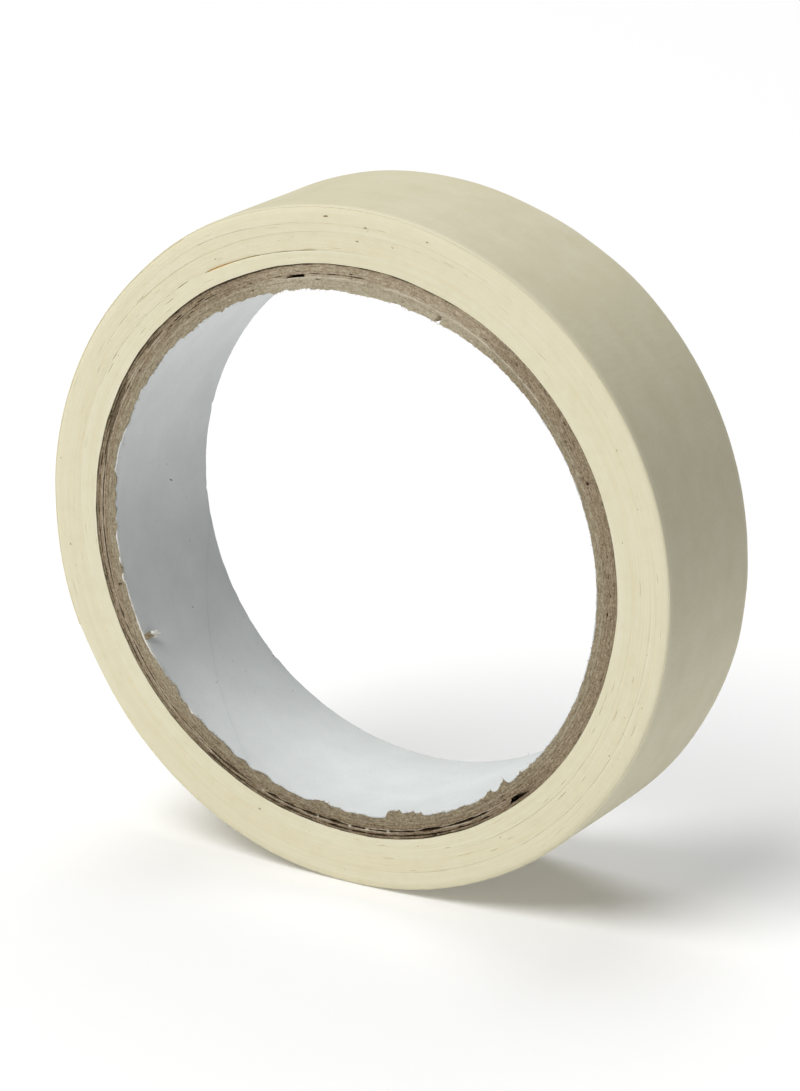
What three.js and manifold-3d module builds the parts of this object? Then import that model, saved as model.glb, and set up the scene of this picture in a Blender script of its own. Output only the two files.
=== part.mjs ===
// Roll of crepe masking tape, standing on its rim.
//
// Units are millimetres, +Z is up. The roll's axis is Y, the origin is on that
// axis at the middle of the tape's width, and -Y is the front face.
// Angles (phi) are measured about the axis from +X towards +Z.
//
// The roll is one long strip of tape wound on a spiral-wound chipboard tube:
//   core_liner            smooth white paper ply that lines the bore
//   core_ply_1 ... 6      chipboard plies, each a strip wound on a steep helix,
//                         so that its own edges meet in one slanted butt seam
//   tape_turns_1 ... 4    the wound tape, divided where neighbouring turns part
//   tape_end_1 ... 8      the free end of the tape, lying on the outermost turn,
//                         in short lengths hinged to each other so that it peels
import * as THREE from 'three';
import { mergeVertices } from 'three/addons/utils/BufferGeometryUtils.js';
import Module from 'manifold-3d';

// ---- driving dimensions -------------------------------------------------
const WIDTH = 24.0;            // width of the tape and of the core
const BORE_R = 38.0;           // 76 mm core
const CORE_R = 41.1;           // outside of the core tube
const ROLL_R = 48.85;          // outside of the wound tape
const TAPE_T = 0.13;           // thickness of one turn of tape
const FACETS = 72;             // facets round every ring, one of them centred at the bottom
const STEP = 360 / FACETS;
const FIT = 0.03;              // clearance between glued or wound layers

// Core plies from the bore outwards: inner radius, outer radius, seam angle at
// the front cut, and width of the butt gap along the ring.
const LINER = { r0: BORE_R, r1: 38.19, seam: 245.0, gap: 0.35 };
const PLIES = [
  { r0: 38.22, r1: 38.68, seam: 68.5, gap: 0.7 },
  { r0: 38.71, r1: 39.17, seam: 196.0, gap: 0.6 },
  { r0: 39.20, r1: 39.62, seam: 102.0, gap: 3.0 },
  { r0: 39.65, r1: 40.02, seam: 24.0, gap: 0.6 },
  { r0: 40.05, r1: 40.67, seam: 311.4, gap: 3.0 },
  { r0: 40.70, r1: CORE_R, seam: 160.0, gap: 0.8 },
];
const HELIX = 53.4 / 24.0;     // degrees that a seam moves round per mm along the axis

// Radii at which neighbouring turns of tape have parted slightly.
const PARTINGS = [43.45, 45.95, 46.85];
const EDGE = 0.9;              // rounding of the outermost turns' edges

// Free end of the tape.
const END_ROOT = 122.5;        // angle at which the loose length starts
const END_COUNT = 8;
const END_SPAN = 10.0;         // degrees of roll that each short length covers
const END_GAP = 0.2;           // clearance between neighbouring lengths
const END_WIDTH = 23.0;        // the outermost turn narrows over the rounded edges
const END_RECESS = 0.04;       // clearance under the free end

// ---- helpers ------------------------------------------------------------
const rad = (d) => (d * Math.PI) / 180;
const wasm = await Module();
wasm.setup();

// Point of the faceted circle of radius r at angle phi (degrees), as x, z.
function rim(r, phi) {
  const first = STEP / 2;
  const k = Math.floor((phi - first) / STEP);
  const a = first + k * STEP;
  const f = (phi - a) / STEP;
  const pa = [r * Math.cos(rad(a)), r * Math.sin(rad(a))];
  const pb = [r * Math.cos(rad(a + STEP)), r * Math.sin(rad(a + STEP))];
  // the facet is a chord, so the direction phi meets it at this share of its length
  const t = Math.sin(rad(phi - a)) /
    (Math.sin(rad(phi - a)) + Math.sin(rad(a + STEP - phi)));
  const share = f === 0 ? 0 : t;
  return [pa[0] + (pb[0] - pa[0]) * share, pa[1] + (pb[1] - pa[1]) * share];
}

// Closed ring about Y from a closed profile of [radius, y] points.
function ring(profile) {
  const points = [...profile, profile[0]].map(([r, y]) => new THREE.Vector2(r, y));
  return new THREE.LatheGeometry(points, FACETS, rad(STEP / 2), Math.PI * 2);
}

// Plain rectangular ring profile, anticlockwise in (radius, y).
const tube = (r0, r1, w = WIDTH) => [
  [r1, -w / 2], [r1, w / 2], [r0, w / 2], [r0, -w / 2],
];

// Sector of a ring between two angles, extruded along Y over width w.
function sector(r0, r1, from, to, w) {
  const outer = [], inner = [];
  const angles = [from];
  for (let a = STEP / 2; a < 720; a += STEP) if (a > from + 1e-6 && a < to - 1e-6) angles.push(a);
  angles.push(to);
  for (const a of angles) {
    outer.push(rim(r1, a));
    inner.push(rim(r0, a));
  }
  const outline = [...outer, ...inner.reverse()];
  const shape = new THREE.Shape(outline.map(([x, z]) => new THREE.Vector2(x, z)));
  const g = new THREE.ExtrudeGeometry(shape, { depth: w, bevelEnabled: false, curveSegments: 1 });
  // the outline was drawn in X and Z: turn the extrusion direction onto Y
  g.rotateX(Math.PI / 2);
  g.translate(0, w / 2, 0);
  return g;
}

// Bar that follows a helix through a ply's wall and leaves its butt seam.
function seamCutter({ r0, r1, seam, gap }) {
  const steps = 18, over = 0.8, reach = WIDTH / 2 + 0.6;
  const half = (gap / 2 / ((r0 + r1) / 2)) * (180 / Math.PI);
  const pos = [], idx = [];
  for (let i = 0; i <= steps; i++) {
    const y = -reach + (2 * reach * i) / steps;
    const mid = seam - HELIX * (y + WIDTH / 2);
    for (const [r, a] of [[r0 - over, mid - half], [r1 + over, mid - half],
      [r1 + over, mid + half], [r0 - over, mid + half]]) {
      pos.push(r * Math.cos(rad(a)), y, r * Math.sin(rad(a)));
    }
  }
  for (let i = 0; i < steps; i++) {
    for (let k = 0; k < 4; k++) {
      const a = i * 4 + k, b = i * 4 + ((k + 1) % 4), c = a + 4, d = b + 4;
      idx.push(a, b, d, a, d, c);
    }
  }
  const e = steps * 4;
  idx.push(0, 2, 1, 0, 3, 2, e, e + 1, e + 2, e, e + 2, e + 3);
  const g = new THREE.BufferGeometry();
  g.setAttribute('position', new THREE.Float32BufferAttribute(pos, 3));
  g.setIndex(idx);
  return g;
}

function volume(g) {
  const p = g.getAttribute('position'), ix = g.getIndex();
  const v = [0, 1, 2].map(() => new THREE.Vector3());
  let sum = 0;
  for (let i = 0; i < ix.count; i += 3) {
    for (let k = 0; k < 3; k++) v[k].fromBufferAttribute(p, ix.getX(i + k));
    sum += v[0].dot(v[1].clone().cross(v[2])) / 6;
  }
  return sum;
}

// Merged, outward-facing copy of a geometry with positions only.
function clean(g) {
  const c = g.clone();
  for (const name of Object.keys(c.attributes)) if (name !== 'position') c.deleteAttribute(name);
  const m = mergeVertices(c, 1e-4);
  const ix = m.getIndex(), keep = [];
  for (let i = 0; i < ix.count; i += 3) {
    const [a, b, d] = [ix.getX(i), ix.getX(i + 1), ix.getX(i + 2)];
    if (a !== b && b !== d && a !== d) keep.push(a, b, d);
  }
  m.setIndex(keep);
  if (volume(m) < 0) {
    for (let i = 0; i < keep.length; i += 3) [keep[i + 1], keep[i + 2]] = [keep[i + 2], keep[i + 1]];
    m.setIndex(keep);
  }
  return m;
}

function solid(g) {
  const m = clean(g);
  return new wasm.Manifold(new wasm.Mesh({
    numProp: 3,
    vertProperties: new Float32Array(m.getAttribute('position').array),
    triVerts: new Uint32Array(m.getIndex().array),
  }));
}

function geometry(manifold) {
  const mesh = manifold.getMesh();
  const pos = new Float32Array(mesh.numVert * 3);
  for (let i = 0; i < mesh.numVert; i++) {
    for (let k = 0; k < 3; k++) pos[i * 3 + k] = mesh.vertProperties[i * mesh.numProp + k];
  }
  const g = new THREE.BufferGeometry();
  g.setAttribute('position', new THREE.BufferAttribute(pos, 3));
  g.setIndex(Array.from(mesh.triVerts));
  return g;
}

const cut = (body, tool) => geometry(solid(body).subtract(solid(tool)));

// ---- materials ----------------------------------------------------------
const liner = new THREE.MeshStandardMaterial({ color: 0xdfe3e3, roughness: 0.7, metalness: 0 });
const board = new THREE.MeshStandardMaterial({ color: 0x83775c, roughness: 0.95, metalness: 0 });
const boardLight = new THREE.MeshStandardMaterial({ color: 0x978b6f, roughness: 0.95, metalness: 0 });
const boardDark = new THREE.MeshStandardMaterial({ color: 0x5f5540, roughness: 0.95, metalness: 0 });
const tape = new THREE.MeshStandardMaterial({ color: 0xe2dcbc, roughness: 0.8, metalness: 0 });
const tapeEnd = new THREE.MeshStandardMaterial({ color: 0xddd6b6, roughness: 0.8, metalness: 0 });

const roll = new THREE.Group();
function add(name, g, material) {
  const c = clean(g);
  c.computeVertexNormals();
  const mesh = new THREE.Mesh(c, material.clone());
  mesh.name = name;
  roll.add(mesh);
}

// ---- core ---------------------------------------------------------------
add('core_liner', cut(ring(tube(LINER.r0, LINER.r1)), seamCutter(LINER)), liner);
const shades = [board, boardLight, board, boardLight, board, boardDark];
PLIES.forEach((ply, i) => {
  add(`core_ply_${i + 1}`, cut(ring(tube(ply.r0, ply.r1)), seamCutter(ply)), shades[i]);
});

// ---- wound tape ---------------------------------------------------------
const h = WIDTH / 2;
const bounds = [CORE_R + FIT, ...PARTINGS, ROLL_R];
for (let i = 0; i < bounds.length - 1; i++) {
  const r0 = i === 0 ? bounds[0] : bounds[i] + FIT;
  const r1 = bounds[i + 1];
  const last = i === bounds.length - 2;
  let profile;
  if (!last) {
    profile = tube(r0, r1);
  } else {
    const edge = [];
    for (const a of [0, 30, 60, 90]) {
      edge.push([r1 - EDGE + EDGE * Math.sin(rad(a)), h - EDGE + EDGE * Math.cos(rad(a))]);
    }
    const upper = edge.slice().reverse();              // from the rim round to the back face
    const lower = edge.map(([r, y]) => [r, -y]);       // from the front face round to the rim
    profile = [...lower, ...upper, [r0, h], [r0, -h]];
  }
  let g = ring(profile);
  if (last) {
    const pad = (END_GAP / ROLL_R) * (180 / Math.PI);
    const room = sector(r1 - TAPE_T - END_RECESS, r1 + 3, END_ROOT - pad / 2,
      END_ROOT + END_COUNT * END_SPAN + pad / 2, WIDTH + 2);
    g = cut(g, room);
  }
  add(`tape_turns_${i + 1}`, g, tape);
}

// ---- free end of the tape ----------------------------------------------
const half = (END_GAP / 2 / ROLL_R) * (180 / Math.PI);
for (let i = 0; i < END_COUNT; i++) {
  const from = END_ROOT + i * END_SPAN + half;
  const to = END_ROOT + (i + 1) * END_SPAN - half;
  add(`tape_end_${i + 1}`, sector(ROLL_R - TAPE_T, ROLL_R, from, to, END_WIDTH), tapeEnd);
}

export default roll;
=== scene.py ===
import math

import bpy
import numpy as np
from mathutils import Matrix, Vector


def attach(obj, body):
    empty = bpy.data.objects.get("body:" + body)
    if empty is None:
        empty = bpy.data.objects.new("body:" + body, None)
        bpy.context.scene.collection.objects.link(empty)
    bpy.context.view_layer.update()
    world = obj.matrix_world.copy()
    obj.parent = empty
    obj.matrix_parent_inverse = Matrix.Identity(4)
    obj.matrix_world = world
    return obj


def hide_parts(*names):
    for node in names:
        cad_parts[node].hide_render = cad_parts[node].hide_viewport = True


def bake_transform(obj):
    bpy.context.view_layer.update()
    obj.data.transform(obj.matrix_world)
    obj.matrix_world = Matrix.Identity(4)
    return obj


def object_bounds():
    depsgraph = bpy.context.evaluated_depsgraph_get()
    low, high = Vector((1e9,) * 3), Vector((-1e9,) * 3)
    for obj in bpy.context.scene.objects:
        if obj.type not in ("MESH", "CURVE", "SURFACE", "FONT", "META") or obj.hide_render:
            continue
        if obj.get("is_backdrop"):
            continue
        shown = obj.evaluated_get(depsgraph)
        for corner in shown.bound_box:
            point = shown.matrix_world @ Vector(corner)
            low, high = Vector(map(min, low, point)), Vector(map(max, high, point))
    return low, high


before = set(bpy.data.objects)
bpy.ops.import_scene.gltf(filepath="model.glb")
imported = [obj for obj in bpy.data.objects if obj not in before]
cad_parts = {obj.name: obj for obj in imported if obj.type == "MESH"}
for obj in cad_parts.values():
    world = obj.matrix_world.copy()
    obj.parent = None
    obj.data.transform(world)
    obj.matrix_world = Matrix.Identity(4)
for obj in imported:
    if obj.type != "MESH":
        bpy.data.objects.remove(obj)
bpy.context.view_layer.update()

# ---- sizes, as in the part ----------------------------------------------------------------------
H = 12.0                       # half the width
BORE_R, CORE_R, ROLL_R = 38.0, 41.1, 48.85
T = 0.13                       # thickness of the tape
ROOT, TIP = 122.5, 202.5       # the free end, from where it leaves the roll to its torn edge
SPAN = 10.0                    # each hinged length of the free end
HELIX = 53.4 / 24.0            # degrees that a core seam moves round per mm of width
PLIES = [                      # inner radius, outer radius, seam angle at the front, butt gap in mm
    (38.22, 38.68, 68.5, 0.7),
    (38.71, 39.17, 196.0, 0.6),
    (39.20, 39.62, 102.0, 3.0),
    (39.65, 40.02, 24.0, 0.6),
    (40.05, 40.67, 311.4, 3.0),
    (40.70, 41.10, 160.0, 0.8),
]
rad = np.radians


# ---- small tools --------------------------------------------------------------------------------
def around(phi, *pts):
    """Smooth closed curve through (angle, value) points."""
    a = np.array(sorted(pts), float)
    x = np.concatenate([a[-1:, 0] - 360, a[:, 0], a[:1, 0] + 360])
    v = np.concatenate([a[-1:, 1], a[:, 1], a[:1, 1]])
    p = np.mod(phi, 360.0)
    i = np.clip(np.searchsorted(x, p, side="right") - 1, 0, len(x) - 2)
    t = (p - x[i]) / (x[i + 1] - x[i])
    t = t * t * (3 - 2 * t)
    return v[i] + (v[i + 1] - v[i]) * t


def step(x, lo, hi):
    t = np.clip((x - lo) / (hi - lo), 0, 1)
    return t * t * (3 - 2 * t)


def windows(phi, spans, soft=0.6):
    """Sum of dashes (from, to, height) with soft ends, in degrees."""
    p = np.mod(phi, 360.0)
    out = np.zeros_like(p)
    for a, b, h in spans:
        out = np.maximum(out, h * step(p, a, a + soft) * (1 - step(p, b - soft, b)))
    return out


def noise(phi, v, nu, nv, seed):
    """Smooth noise from -1 to 1 on a ring: nu cells per turn, nv cells per unit of v."""
    phi, v = np.broadcast_arrays(np.asarray(phi, float), np.asarray(v, float))
    a, b = np.mod(phi, 360.0) / 360.0 * nu, v * nv
    i, j = np.floor(a).astype(int), np.floor(b).astype(int)
    fa, fb = a - i, b - j
    fa, fb = fa * fa * (3 - 2 * fa), fb * fb * (3 - 2 * fb)
    j0 = j - j.min()
    tab = np.random.default_rng(seed).uniform(-1, 1, (nu, int(j0.max()) + 2))
    i1, i = (i + 1) % nu, i % nu
    return (tab[i, j0] * (1 - fa) + tab[i1, j0] * fa) * (1 - fb) + (
        tab[i, j0 + 1] * (1 - fa) + tab[i1, j0 + 1] * fa
    ) * fb


def fbm(phi, v, nu, nv, seed, octaves=3):
    out, amp, total = 0.0, 1.0, 0.0
    for k in range(octaves):
        out = out + amp * noise(phi, v, nu << k, nv * 2**k, seed + 17 * k)
        total += amp
        amp *= 0.5
    return out / total * 1.4


def place(phi, r, y):
    """Points in metres from angle, radius and y."""
    phi, r, y = np.broadcast_arrays(phi, r, y)
    return np.stack([r * np.cos(rad(phi)), y, r * np.sin(rad(phi))], -1) * 0.001


def grid(n, m, wrap_u, wrap_v):
    i = np.arange(n if wrap_u else n - 1)
    j = np.arange(m if wrap_v else m - 1)
    i, j = np.meshgrid(i, j, indexing="ij")
    i1, j1 = (i + 1) % n, (j + 1) % m
    return np.stack([i * m + j, i1 * m + j, i1 * m + j1, i * m + j1], -1).reshape(-1, 4)


def volume(co, quads):
    a, b, c, d = (co[quads[:, k]] for k in range(4))
    return float((np.cross(b, c) * a).sum() + (np.cross(c, d) * a).sum()) / 6


def build(name, co, quads, polys=(), smooth=45.0, attrs=None, uv=None):
    """Mesh object from points, quads and a few larger polygons, facing outwards."""
    co = np.asarray(co, float).reshape(-1, 3)
    faces = [quads.astype(np.int32).ravel()] + [np.array(p, np.int32) for p in polys]
    if volume(co, quads) < 0:
        faces[0] = quads[:, ::-1].astype(np.int32).ravel()
        faces[1:] = [p[::-1] for p in faces[1:]]
    loops = np.concatenate(faces)
    counts = np.concatenate([np.full(len(quads), 4), [len(p) for p in polys]]).astype(np.int32)
    me = bpy.data.meshes.new(name)
    me.vertices.add(len(co))
    me.vertices.foreach_set("co", co.astype(np.float32).ravel())
    me.loops.add(len(loops))
    me.loops.foreach_set("vertex_index", loops)
    me.polygons.add(len(counts))
    me.polygons.foreach_set("loop_start", np.concatenate([[0], np.cumsum(counts)[:-1]]).astype(np.int32))
    me.update(calc_edges=True)
    me.validate()
    me.polygons.foreach_set("use_smooth", np.ones(len(me.polygons), bool))
    if smooth is not None:
        me.set_sharp_from_angle(angle=math.radians(smooth))
    for key, value in (attrs or {}).items():
        at = me.attributes.new(key, "FLOAT", "POINT")
        at.data.foreach_set("value", np.asarray(value, np.float32).ravel())
    if uv is not None:
        layer = me.uv_layers.new(name="Strip")
        index = np.zeros(len(me.loops), np.int32)
        me.loops.foreach_get("vertex_index", index)
        layer.data.foreach_set("uv", np.asarray(uv, np.float32).reshape(-1, 2)[index].ravel())
    ob = bpy.data.objects.new(name, me)
    bpy.context.scene.collection.objects.link(ob)
    return ob


# ---- how far the roll is from a true cylinder ----------------------------------------------------
def core_dev(phi):
    return around(phi, (0, 0), (37, 0.08), (58, 0.08), (74, -0.12), (96, -0.24), (114, -0.24), (126, 0.08),
                  (146, 0.18), (190, 0.23), (214, 0.22), (245, 0.0), (262, -0.12), (283, 0.05), (308, -0.12),
                  (346, -0.18))


def front_dev(phi):
    return around(phi, (0, 0.05), (50, 0.08), (96, 0.0), (120, 0.26), (136, 0.02), (172, -0.10), (183, -0.28),
                  (197, -0.2), (210, -0.46), (224, -0.26), (246, 0.0), (256, 0.1), (266, 0.06), (277, 0.14),
                  (290, 0.14), (309, 0.18), (335, 0.12))


def back_dev(phi):
    return around(phi, (4, 0.38), (14, 0.34), (48, 0.28), (62, -0.1), (72, -0.28), (84, -0.16), (103, 0.08),
                  (130, 0.05), (180, -0.2), (212, -0.3), (250, -0.1), (268, -0.3), (292, 0.2), (311, 0.7),
                  (322, 0.78), (334, 0.7), (345, 0.72), (355, 0.5))


def dev(phi, r, y):
    f = np.clip((r - CORE_R) / (ROLL_R - CORE_R), 0, 1.02)
    w = step(y, -H, H)
    return core_dev(phi) * (1 - f) + (front_dev(phi) * (1 - w) + back_dev(phi) * w) * f


# ---- the wound tape -------------------------------------------------------------------------------
def turn_radius(s):
    """Top of the outermost full turn, at strip angle s from ROOT to ROOT + 360: the roll is a spiral."""
    return ROLL_R - T + T * (s - TIP) / 360.0


def droop(y):
    """How far the edges of the outermost turns are pressed down."""
    t = np.clip((np.abs(y) - 10.6) / 1.2, 0, 1.1)
    return 0.15 * t**2


def layer(m, y):
    """Depth below the outermost turn's top of the top of layer m, at y."""
    return T * m + droop(y) * np.exp(-np.maximum(m, 0) / 4.0)


def reach(m):
    """Half width that layer m reaches to."""
    return H - 0.30 * np.exp(-np.maximum(m, 0) / 3.6)


def crepe(s, y):
    """Relief of the tape's back: short wrinkles across the width, and a slow unevenness."""
    return (
        0.0065 * fbm(s, y, 760, 0.42, 301, 2)
        + 0.0040 * noise(s, y, 1500, 1.3, 331)
        + 0.010 * fbm(s, y, 46, 0.12, 351, 2)
    )


PARTING = [
    lambda p: around(p, (86, 42.95), (100, 42.9), (120.5, 43.2), (126, 43.4), (156, 44.05), (172, 44.0),
                     (205, 43.6), (260, 43.5), (320, 43.45), (20, 43.2), (60, 43.0)),
    lambda p: around(p, (121, 45.4), (148, 45.9), (180, 46.0), (330, 46.0), (20, 45.9), (70, 45.55), (98, 45.4)),
    lambda p: around(p, (86, 46.5), (100, 46.52), (120.5, 46.85), (160, 47.0), (280, 46.9), (350, 46.8),
                     (50, 46.6)),
]
GAP_FRONT = [
    [(96, 121.5, 0.14), (108, 121.2, 0.24), (125.3, 128.8, 0.10), (125, 156, 0.025), (138, 141.2, 0.07),
     (144.8, 146.2, 0.08), (147, 149.6, 0.10), (86, 97, 0.025), (300, 318, 0.015)],
    [(121.5, 148, 0.020), (126, 129, 0.045), (133, 137, 0.04), (141, 143.5, 0.04), (275, 360, 0.018),
     (328, 332.5, 0.06), (309, 312.5, 0.05), (286, 290.5, 0.06), (340, 343, 0.035), (296, 300, 0.03)],
    [(99, 120.5, 0.030), (84, 99, 0.018), (108, 113, 0.045)],
]
GAP_BACK = [
    [(20, 62, 0.05), (31, 38, 0.13), (44, 47, 0.1), (212, 226, 0.05), (260, 300, 0.035), (271, 276, 0.12)],
    [(70, 118, 0.04), (84, 91, 0.10), (150, 190, 0.035), (161, 166, 0.09), (322, 340, 0.05)],
    [(230, 262, 0.05), (238, 246, 0.1), (5, 30, 0.035)],
]
CORE_GAP = (  # between the core and the first turn, front
    lambda p: 0.03 + windows(p, [(128, 304, 0.07), (60, 128, 0.035)], 8.0)
)
# short partings inside a group of turns: from, to, radius, depth
DASHES = [(338, 340.4, 44.05, 0.18), (318, 320.6, 44.05, 0.18), (320.5, 322.3, 42.9, 0.13), (310.4, 312.6, 43.5, 0.20),
          (277, 279.4, 44.0, 0.16), (130, 132.4, 42.8, 0.13), (139, 141.4, 42.6, 0.11), (299.6, 301.8, 45.1, 0.13),
          (333.4, 335, 42.3, 0.11), (151.6, 153.8, 45.2, 0.10), (290.4, 292.2, 43.0, 0.13), (346, 348, 44.8, 0.10),
          (304, 305.6, 44.5, 0.14), (283.2, 285, 43.5, 0.15), (324.2, 325.8, 44.6, 0.11), (329.2, 330.6, 43.4, 0.12)]


def short_partings(seed, count):
    g = np.random.default_rng(seed)
    out = []
    for _ in range(count):
        a = g.uniform(0, 360)
        out.append((a, a + g.uniform(0.8, 3.2), g.uniform(41.5, 48.0), g.uniform(0.03, 0.12)))
    return out


DASH_FRONT = DASHES + short_partings(61, 80)
DASH_BACK = short_partings(62, 110)


def taper(d):
    """How a parting closes with depth d in mm from the face."""
    return np.clip(1 - d / 1.5, 0, 1) ** 1.2


def tape_group(number, turns, steps):
    phi = ROOT + 360.0 * np.arange(steps) / steps
    phi = np.concatenate([phi, [ROOT + 359.9]])[:, None] if number == 4 else phi[:, None]
    n = len(phi)
    zero = np.zeros_like(phi)

    def gap(k, y):
        f = windows(phi, GAP_FRONT[k], 0.9) * (0.75 + 0.45 * noise(phi, 0, 150, 1, 40 + k))
        b = windows(phi, GAP_BACK[k], 0.9) * (0.75 + 0.45 * noise(phi, 0, 150, 1, 50 + k))
        tight = 5.5 if k == 0 else 2.2
        return f * taper((y + H) * tight) + b * taper((H - y) * tight) + 0.006

    def r_in(y):
        if number == 1:
            g = CORE_GAP(phi) * (0.7 + 0.5 * noise(phi, 0, 130, 1, 7))
            return CORE_R + 0.012 + g * taper((y + H) * 1.6) + 0.5 * g * taper((H - y) * 1.6)
        return PARTING[number - 2](phi) + 0.5 * gap(number - 2, y)

    def r_out(y):
        if number == 4:
            return turn_radius(phi) - T - 0.004 + zero * y
        return PARTING[number - 1](phi) - 0.5 * gap(number - 1, y)

    s = np.array([x for k in range(turns) for x in ((k + 0.0) / turns, (k + 0.28) / turns, (k + 0.72) / turns)]
                 + [1.0])[None, :]
    turn = np.minimum(np.floor(s * turns + 1e-6), turns - 1)
    valley = (np.arange(s.size) % 3 == 0).astype(float)[None, :]
    m = 1 + (1 - s) * turns if number == 4 else np.full_like(s, 60.0)

    def face(side):
        y0 = side * H
        lo, hi = r_in(y0), r_out(y0)
        lin = lo + (hi - lo) * s
        seed = 400 + number * 10 + (side > 0) * 5
        dashes = DASH_FRONT if side < 0 else DASH_BACK
        depth = 0.014 * valley + 0.004 * noise(phi, s * turns, 700, 1, seed) * valley
        depth = depth + 0.010 * noise(phi, turn, 16, 1, seed + 1) * (1 - valley)
        depth = depth + 0.030 * fbm(phi, lin, 9, 0.4, seed + 2, 3)
        deep = np.zeros_like(lin)
        shift = np.zeros_like(lin)
        mid = (lo + hi) / 2
        for a, b, r, d in dashes:
            row = int(np.argmin(np.abs(((phi[:, 0] - (a + b) / 2 + 180) % 360) - 180)))
            if not lo[row, 0] + T < r < hi[row, 0] - T:
                continue
            k = 3 * int(np.clip(round((r - lo[row, 0]) / (hi[row, 0] - lo[row, 0]) * turns), 1, turns - 1))
            w = windows(phi - a, [(0, b - a, 1.0)], 0.8)[:, 0]
            depth[:, k] += d * w
            deep[:, k] = np.maximum(deep[:, k], w * min(1.0, d * 2.0))
        edge = droop(reach(m)) * np.exp(-m / 4.0) if number == 4 else np.zeros_like(s)
        # turns next to a parting curl away from it a little
        roll_over = np.zeros_like(lin)
        for k, at in ((number - 2, 0.0), (number - 1, 1.0)):
            if 0 <= k <= 2:
                wide = gap(k, y0) * (1 if True else 0)
                roll_over = roll_over + np.clip(wide, 0, 0.2) * 0.5 * np.exp(-np.abs(s - at) * turns / 1.2)
        r = lin + shift - edge
        y = side * ((reach(m) if number == 4 else H) - depth - roll_over)
        return r, y + zero, deep

    walls = np.array([-11.75, -11.3, -10.6, -9.4, -6, 0, 6, 9.4, 10.6, 11.3, 11.75])[None, :]
    fr, fy, fdeep = face(-1)
    br, by, bdeep = face(1)
    if number == 4:
        outer_y = np.array([-11.62, -11.3, -10.9, -9, -5, 0, 5, 9, 10.9, 11.3, 11.62])[None, :]
        outer_r = r_out(outer_y) - (layer(1, outer_y) - T)
    else:
        outer_y, outer_r = walls, r_out(walls)
    inner_y, inner_r = walls[:, ::-1], r_in(walls[:, ::-1])
    R = np.concatenate([fr, outer_r + zero, br[:, ::-1], inner_r + zero], 1)
    Y = np.concatenate([fy, outer_y + zero, by[:, ::-1], inner_y + zero], 1)
    wall = np.ones((n, walls.size))
    deep = np.concatenate([fdeep, wall, bdeep[:, ::-1], wall], 1)
    near = np.clip(1 - (Y + H) / 1.6, 0, 1)
    p = np.mod(phi, 360.0)
    amber = deep * near * step(p, 111, 117.5) * (1 - step(p, 121, 122.5)) if number in (1, 2) else 0 * deep
    co = place(phi, R + dev(phi, R, Y), Y)
    quads = grid(n, R.shape[1], True, True)
    return build(f"tape_group_{number}", co, quads, attrs={"deep": deep, "amber": amber})


def strip_uv(s, y):
    s, y = np.broadcast_arrays(s, y)
    return np.stack([(s - ROOT) * math.pi / 180 * 48.8, y], -1)


def outer_turn(steps):
    s = np.linspace(ROOT, ROOT + 360, steps)[:, None]
    edge = float(reach(0))
    fine = np.concatenate([[edge, edge - 0.10, edge - 0.22, edge - 0.36, edge - 0.52, 10.85], np.arange(10.5, 0, -0.5)])
    top_y = np.concatenate([-fine, [0.0], fine[::-1]])[None, :]
    ragged = 0.020 * noise(s, np.sign(top_y), 260, 1, 88)
    top_r = turn_radius(s) - layer(0, top_y) + crepe(s, top_y)
    low_y = np.array([edge, edge - 0.3, edge - 0.6, 8, 0, -8, -edge + 0.6, -edge + 0.3, -edge])[None, :]
    low_r = turn_radius(s) - layer(1, low_y) - 0.0 * s
    y = np.concatenate([top_y + ragged * (np.abs(top_y) / edge) ** 20, low_y + 0 * s], 1)
    r = np.concatenate([top_r, low_r], 1)
    co = place(s, r + dev(s, r, y), y)
    n, m = r.shape
    caps = [list(range(m)), [(n - 1) * m + k for k in reversed(range(m))]]
    return build("tape_outer_turn", co, grid(n, m, False, True), caps, uv=strip_uv(s, y),
                 attrs={"under": np.zeros(r.size)})


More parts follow.
